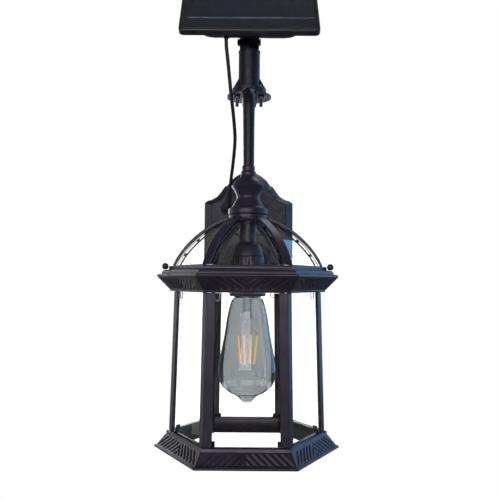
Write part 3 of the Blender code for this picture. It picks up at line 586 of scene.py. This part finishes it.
def build_rings():
    frieze = ((88.6, 175.9), (100.0, 187.3))
    beads = curve_profile(((100.0, 187.3), (100.6, 188.2), (101.7, 188.8), (102.25, 189.8),
                           (102.1, 191.0), (101.2, 191.9), (99.6, 192.3)),
                          ((97.0, 192.6), (96.9, 193.4), (96.3, 195.0), (95.4, 196.1),
                           (93.6, 196.7)), ((90.0, 196.9), (88.9, 197.6)))
    profile = [(74.0, 173.0), (86.9, 173.0), (87.3, 173.5), (87.4, 175.2), (88.1, 175.5),
               frieze[0]] + beads
    profile += [(88.8, 200.5), (88.3, 201.0), (76.0, 201.0), (76.0, 198.2), (86.4, 197.6),
                (86.6, 195.2), (92.6, 192.6), (97.2, 189.2), (86.4, 178.0), (84.2, 176.8),
                (74.0, 176.8)]
    cornice = six_sided("cornice", profile, frieze, 1.0, 0.0, 6.0)
    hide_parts("cornice_ring")
    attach(cornice, "root")

    slope = ((99.2, 3.8), (90.5, 14.4))
    bead = curve_profile(((101.2, 0.0), (102.4, 0.5), (102.9, 1.4), (102.5, 2.4), (101.4, 3.0),
                          (100.2, 3.2)))
    profile = [(78.0, 0.3), (78.3, 0.0), (80.6, 0.0), (80.6, 15.4), (86.4, 15.4), (87.6, 13.6),
               (96.4, 2.6), (97.4, 0.0)] + bead
    profile += [slope[0], slope[1], (89.7, 14.8), (89.4, 15.2), (89.4, 18.1), (89.0, 18.5),
                (78.3, 18.5), (78.0, 18.2)]
    base = six_sided("base", profile, slope, -1.0, -2.0, 5.0)
    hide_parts("base_skirt")
    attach(base, "root")


build_rings()


# ---------------------------------------------------------------- turned castings
def turned_piece(name, profile, material, nodes, body="root", sides=72, closed=True):
    obj = turned(name, profile, material, sides, closed)
    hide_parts(*nodes)
    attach(obj, body)
    return obj


def build_finial():
    base = ((22.3, 259.5), (22.5, 261.0), (22.6, 263.0), (22.4, 264.8), (21.6, 266.2))
    bell = ((20.4, 266.9), (19.2, 267.6), (17.0, 270.8), (14.4, 275.4), (13.1, 278.4),
            (13.4, 281.4), (15.2, 285.4), (17.6, 289.2), (18.6, 290.8), (18.95, 291.8),
            (18.6, 292.7))
    cone = ((17.9, 293.4), (15.2, 296.8), (11.2, 300.6), (9.4, 302.6), (8.8, 304.6),
            (8.6, 307.6), (7.8, 309.0))
    collar = ((6.9, 309.5), (6.9, 310.7), (7.35, 311.2), (7.45, 312.9), (7.3, 314.6),
              (6.9, 315.2))
    bore = ((6.4, 315.2), (6.4, 300.4), (4.0, 300.0), (4.0, 274.0), (9.8, 269.0), (9.8, 259.4))
    profile = curve_profile(base, bell, cone) + list(collar) + list(bore)
    turned_piece("finial_casting", profile, PAINT, ["finial"])
    crown = eased([(9.75, 252.6), (21.4, 252.6), (21.6, 258.6), (20.8, 259.1), (9.75, 259.1)], 0.5)
    turned_piece("crown_cap", crown, PAINT, ["crown_plate"])


build_finial()


# ---------------------------------------------------------------- castings kept from the CAD
def finished(node, material, body="root", bevel=0.4, angle=30.0):
    obj = refined(node, material, body, bevel, angle)
    return obj


def build_castings():
    for node in [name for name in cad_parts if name.startswith(("cage_post", "dome_rib"))]:
        finished(node, PAINT, bevel=0.5)
    # These pieces take the darker, bluer copy of the paint, which is painted shade with a painted
    # blue sky cast.
    finished("wall_plate", SHADED_PAINT, bevel=0.9, angle=20.0)
    finished("pole_knuckle", SHADED_PAINT, bevel=0.7)
    finished("panel_knuckle", SHADED_PAINT, "panel", 0.7)
    finished("pole_bracket", SHADED_PAINT, bevel=0.5)
    finished("gooseneck_arm", SHADED_PAINT, bevel=0.0, angle=50.0)
    finished("stem_tube", PAINT, bevel=0.0, angle=50.0)
    finished("clamp_plate", ZINC, bevel=0.4)
    finished("wall_grommet", RUBBER, bevel=0.0, angle=60.0)
    for node in ("ball_nut_left", "ball_nut_right"):
        finished(node, OLIVE, bevel=0.0, angle=60.0)


def build_panes():
    for node in [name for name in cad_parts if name.startswith(("cage_glass", "dome_glass"))]:
        finished(node, GLASS, bevel=0.3)


build_castings()
build_panes()


# ---------------------------------------------------------------- lamp holder
FLUTES = 22


def build_holder():
    cap = curve_profile(((4.0, 228.0), (9.4, 228.0)),
                        ((10.2, 227.8), (12.8, 226.0), (14.9, 222.8), (16.4, 218.0),
                         (17.2, 214.0), (17.3, 212.4)))
    cap += [(16.9, 212.2), (15.4, 212.2), (14.6, 217.0), (12.8, 221.4), (10.6, 224.2),
            (4.0, 225.6)]
    turned_piece("holder_cap_finish", cap, PAINT, ["holder_cap"])
    outer = ((17.4, 211.8), (17.9, 211.2), (18.2, 210.0), (18.6, 205.0), (18.7, 195.0),
             (18.85, 184.0), (18.9, 177.0), (18.9, 175.6), (19.2, 173.4), (20.2, 172.7),
             (20.4, 171.6), (20.4, 169.4), (20.0, 168.1), (19.4, 167.8))
    inner = ((15.8, 167.8), (15.8, 211.8))
    sides = FLUTES * 8
    rings = []
    for r, z in outer + inner:
        fluted = smooth_step(175.8, 178.5, z) * smooth_step(211.0, 207.5, z) if r > 17.0 else 0.0
        ring = []
        for i in range(sides):
            turn = 2.0 * math.pi * i / sides
            cut = 0.9 * fluted * (0.5 + 0.5 * math.cos(FLUTES * turn)) ** 1.6
            ring.append(at_axis((r - cut) * math.cos(turn), (r - cut) * math.sin(turn), z))
        rings.append(ring)
    shell = new_piece("holder_shell_finish", loft("holder_shell_finish", rings, closed_rows=True),
                      PAINT)
    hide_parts("holder_shell")
    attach(shell, "root")


build_holder()


# ---------------------------------------------------------------- bulb
def make_filament_material():
    """Phosphor-coated strip: amber, matt, slightly mottled, with a painted glow."""
    material, tree, shader, place = start_material("filament", (0.78, 0.48, 0.14), 0.5)
    mottle = ranged(tree, noise(tree, place, 900.0), 0.3, 0.7, 0.0, 1.0)
    colour = mixed(tree, mottle, (0.72, 0.40, 0.09), (0.90, 0.62, 0.24))
    tree.links.new(colour, shader.inputs["Base Color"])
    # Painted glow: the emission keeps the strips bright behind the dark bulb glass.
    shader.inputs["Emission Color"].default_value = (1.0, 0.60, 0.22, 1.0)
    shader.inputs["Emission Strength"].default_value = 1.5
    return material


FILAMENT = make_filament_material()
BULB_OUTER = ((14.9, 165.7), (16.0, 165.2), (17.4, 163.6), (19.0, 159.5), (20.7, 153.5),
              (23.2, 141.1), (25.6, 124.4), (28.9, 107.6), (31.5, 94.3), (32.4, 85.5),
              (31.5, 76.6), (28.6, 69.2), (24.4, 64.6), (19.4, 61.0), (14.0, 58.2),
              (10.2, 55.9), (7.6, 53.2), (5.4, 50.9), (3.0, 49.6), (0.08, 49.2))


BULB_WALL = 0.9
BULB_BOTTOM = 60.0              # below this height the wall is thickened upward, not inward only
TIP_RADIUS = 0.08


def build_bulb_glass():
    """Hollow glass envelope, open at the cap."""
    outer = curve_profile(BULB_OUTER)
    inner = [(max(TIP_RADIUS, r - BULB_WALL), z + (BULB_WALL if z < BULB_BOTTOM else 0.0))
             for r, z in outer]
    profile = inner[::-1] + outer
    rings = [[at_axis(r * math.cos(2 * math.pi * i / 72), r * math.sin(2 * math.pi * i / 72), z)
              for i in range(72)] for r, z in profile]
    glass = new_piece("bulb_glass_finish", loft("bulb_glass_finish", rings), SHADE_TINTED_BULB_GLASS, 60.0)
    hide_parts("bulb_glass")
    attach(glass, "bulb")


def bulb_part(name, path, radius, material, sides=12, taper=None):
    obj = tube(name, [at_axis(*point) for point in path], radius * MM, material, sides, taper)
    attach(obj, "bulb")


FILAMENT_TOPS = ((-10.1, 2.4), (-3.4, -6.6), (4.5, 6.4), (10.7, -2.2))
FILAMENT_TOP = 124.0
FILAMENT_BOTTOM = 92.0
FOOT_SPREAD = 0.74              # how far out the lower ends are, as a share of the upper ends
FILAMENT_RADIUS = 1.05
WIRE_RADIUS = 0.28


def build_filaments():
    """Glass stem, two rings of support wire and four coated strips between them."""
    bulb_part("bulb_stem", ((0, 0, 164.5), (0, 0, 143.5), (0, 0, 141.4), (0, 0, 140.4)), 5.3,
              CLEAR_BULB, 24, lambda t: 1.0 - 0.7 * max(0.0, t * 1.5 - 0.5) ** 2)
    bulb_part("bulb_rod", ((0, 0, 141.0), (0, 0, 120.5)), 1.2, CLEAR_BULB)
    for number, (x, y) in enumerate(FILAMENT_TOPS):
        foot = (x * FOOT_SPREAD, y * FOOT_SPREAD)
        top = (x, y, FILAMENT_TOP)
        bottom = (foot[0], foot[1], FILAMENT_BOTTOM)
        bulb_part(f"filament_{number}", (top, bottom), FILAMENT_RADIUS, FILAMENT, 14)
        wire = smooth_path(((0.6 * x / 10.0, 0.6 * y / 7.0, 137.5), (x * 0.7, y * 0.7, 130.5),
                            (x, y, 127.4), (x, y, 123.6)), 1.2)
        bulb_part(f"support_wire_{number}", wire, WIRE_RADIUS, NICKEL, 8)
        hook = smooth_path(((foot[0], foot[1], 92.4), (foot[0] * 0.98, foot[1] * 0.98, 89.6),
                            (foot[0] * 0.5, foot[1] * 0.5, 87.6), (0.0, 0.0, 87.2)), 1.2)
        bulb_part(f"lower_wire_{number}", hook, WIRE_RADIUS, NICKEL, 8)


build_bulb_glass()
build_filaments()
finished("bulb_cap", NICKEL, "bulb", 0.0, 60.0)


# ---------------------------------------------------------------- solar panel
def make_cell_material():
    """Dark blue-black silicon: crystal mottle, fine collector fingers in the finish."""
    material, tree, shader, place = start_material("solar_cell", (0.010, 0.015, 0.026), 0.42)
    cloud = tree.nodes.new("ShaderNodeTexVoronoi")
    cloud.inputs["Scale"].default_value = 120.0
    tree.links.new(place, cloud.inputs["Vector"])
    mottled = mixed(tree, cloud.outputs["Distance"], (0.004, 0.0075, 0.015), (0.008, 0.014, 0.027))
    fingers = tree.nodes.new("ShaderNodeTexWave")
    fingers.bands_direction = "X"
    fingers.inputs["Scale"].default_value = 210.0
    tree.links.new(place, fingers.inputs["Vector"])
    lines = ranged(tree, fingers.outputs["Fac"], 0.93, 1.0, 0.0, 0.22)
    tree.links.new(mixed(tree, lines, mottled, (0.10, 0.11, 0.12)), shader.inputs["Base Color"])
    tree.links.new(ranged(tree, noise(tree, place, 60.0), 0.3, 0.7, 0.38, 0.48),
                   shader.inputs["Roughness"])
    return material


CELL = make_cell_material()
BUSBAR = make_moulded("busbar_tape", (0.50, 0.53, 0.57), 0.5, 3000.0, 0.01)
PANEL_LOW = -27.0
PANEL_HIGH = 106.0
PANEL_HALF = 81.75


def panel_plate(name, x0, x1, z0, z1, out0, out1, material, bevel=0.0):
    """A plate lying along the panel, in millimetres from the tilt pivot."""
    rings = []
    for out in (out0, out1):
        rings.append([on_panel(x, out, z) for x, z in ((x0, z0), (x1, z0), (x1, z1), (x0, z1))])
    obj = new_piece(name, loft(name, rings), material)
    if bevel > 0.0:
        rounding = obj.modifiers.new("edge_rounding", "BEVEL")
        rounding.width = bevel * MM
        rounding.segments = 2
    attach(obj, "panel")
    return obj


WASHER_RADIUS = 8.2
WASHER_HALF = 0.12              # half its thickness, inside the knuckle's 0.3 mm gap
WASHER_SIDES = 40


def build_knuckle_washer():
    """The thin friction washer between the two halves of the tilting knuckle."""
    rings = []
    for x in (-WASHER_HALF, WASHER_HALF):
        turns = [math.tau * step / WASHER_SIDES for step in range(WASHER_SIDES)]
        rings.append([PIVOT + Vector((x, WASHER_RADIUS * math.cos(turn),
                                      WASHER_RADIUS * math.sin(turn))) * MM for turn in turns])
    washer = new_piece("knuckle_washer", loft("knuckle_washer", rings), BLACK_STEEL)
    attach(washer, "panel")


build_knuckle_washer()


RIM_WIDTH = 5.4
CELL_ROWS = 3
STRIP_GAP = 0.8
CELL_FRONT = 32.42              # ahead of the pivot; the backing sheet's faces are next
BACKING_BACK = 31.8
BACKING_FRONT = 32.2
BUSBAR_FRONT = 32.5
BUSBAR_HALF = 0.6
BUSBAR_INSET = 2.4
BUSBAR_PLACE = 0.52             # how far up its strip, as a share of the strip's height


def build_panel():
    """Rim, glass and rear housing from the CAD, with the cells laid out as strips."""
    finished("panel_frame", PLASTIC, "panel", 0.5)
    finished("panel_housing", PLASTIC, "panel", 0.6)
    finished("panel_glass", PANEL_GLASS, "panel", 0.2)
    half = PANEL_HALF - RIM_WIDTH
    bottom, top = PANEL_LOW + RIM_WIDTH, PANEL_HIGH - RIM_WIDTH
    sheet = panel_plate("cell_backing", -half, half, bottom, top, BACKING_BACK, BACKING_FRONT,
                        PLASTIC)
    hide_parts("solar_cells")
    height = (top - bottom - STRIP_GAP * (CELL_ROWS + 1)) / CELL_ROWS
    for row in range(CELL_ROWS):
        low = bottom + STRIP_GAP + row * (height + STRIP_GAP)
        edge = half - STRIP_GAP
        panel_plate(f"cell_strip_{row}", -edge, edge, low, low + height, BACKING_FRONT,
                    CELL_FRONT, CELL, 0.08)
        middle = low + height * BUSBAR_PLACE
        edge = half - BUSBAR_INSET
        panel_plate(f"busbar_{row}", -edge, edge, middle - BUSBAR_HALF, middle + BUSBAR_HALF,
                    CELL_FRONT, BUSBAR_FRONT, BUSBAR)


build_panel()


# ---------------------------------------------------------------- inner strips, tabs and clips
RIB_RADIUS = 110.4
RIB_CENTRE = (-14.2, 152.3)     # corner radius and height of the ribs' arc


def turned_to(side, x, y, z):
    """A point given along one corner's radius, across it and up, as a frame point."""
    angle = math.radians(60.0 * side)
    return at_axis(x * math.cos(angle) - y * math.sin(angle),
                   x * math.sin(angle) + y * math.cos(angle), z)


def block(name, side, low, high, material=None, bevel=0.25):
    """A small bevelled block between two corners given in a corner's own directions."""
    (x0, y0, z0), (x1, y1, z1) = low, high
    rings = [[turned_to(side, x, y, z) for x, y in ((x0, y0), (x1, y0), (x1, y1), (x0, y1))]
             for z in (z0, z1)]
    obj = new_piece(name, loft(name, rings), material or PAINT)
    rounding = obj.modifiers.new("edge_rounding", "BEVEL")
    rounding.width = bevel * MM
    rounding.segments = 2
    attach(obj, "root")
    return obj


def build_rib_strips():
    """Under each rib a thin keeper strip holds the curved panes, spaced off by small tabs."""
    inner = RIB_RADIUS - 8.2
    for side in range(HEX):
        rings = []
        for step in range(19):
            angle = math.radians(29.0 + 40.0 * step / 18)
            ring = []
            for radius, y in ((inner + 0.5, -2.6), (inner + 0.5, 2.6), (inner - 0.7, 2.6),
                              (inner - 0.7, -2.6)):
                ring.append(turned_to(side, RIB_CENTRE[0] + radius * math.cos(angle), y,
                                      RIB_CENTRE[1] + radius * math.sin(angle)))
            rings.append(ring)
        name = f"rib_keeper_{side}"
        strip = new_piece(name, loft(name, rings), PAINT)
        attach(strip, "root")
        for number, degrees in enumerate((36.0, 48.0, 60.0)):
            angle = math.radians(degrees)
            x = RIB_CENTRE[0] + (inner + 1.4) * math.cos(angle)
            z = RIB_CENTRE[1] + (inner + 1.4) * math.sin(angle)
            block(f"rib_tab_{side}_{number}", side, (x - 1.6, -2.0, z - 1.6),
                  (x + 1.6, 2.0, z + 1.6))


def build_crown_tabs():
    """Small tabs under the crown, where the panes' upper ends are held."""
    for side in range(HEX):
        block(f"crown_tab_{side}", side + 0.5, (12.0, -2.2, 249.6), (16.5, 2.2, 252.5))


def build_clips():
    """Wire clips at the tops of the flat panes, and small blocks at their feet."""
    cos30 = math.cos(math.radians(30.0))
    for side in range(HEX):
        for sign in (-1, 1):
            inward = 86.0 * cos30 - 5.6
            block(f"pane_foot_{side}_{'left' if sign < 0 else 'right'}", side + 0.5,
                  (inward - 2.4, sign * 34.0 - 2.5, 18.6), (inward, sign * 34.0 + 2.5, 23.5))
        inward = 82.6 * cos30 - 5.4
        path = [turned_to(side + 0.5, inward, y, z)
                for y, z in ((-33.0, 172.6), (-33.0, 166.5), (-32.0, 164.9), (-30.4, 164.3),
                             (-28.8, 164.9), (-27.8, 166.5), (-27.8, 172.6))]
        clip = tube(f"pane_clip_{side}", path, 0.55 * MM, STEEL, 10)
        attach(clip, "root")


build_rib_strips()
build_crown_tabs()
build_clips()


# ---------------------------------------------------------------- default finishes and end
def default_finish():
    """Each CAD node listed in NODE_FINISHES, which nothing above has finished, gets its family's
    material.
    """
    for name, material in NODE_FINISHES.items():
        finish_node(name, material)


default_finish()
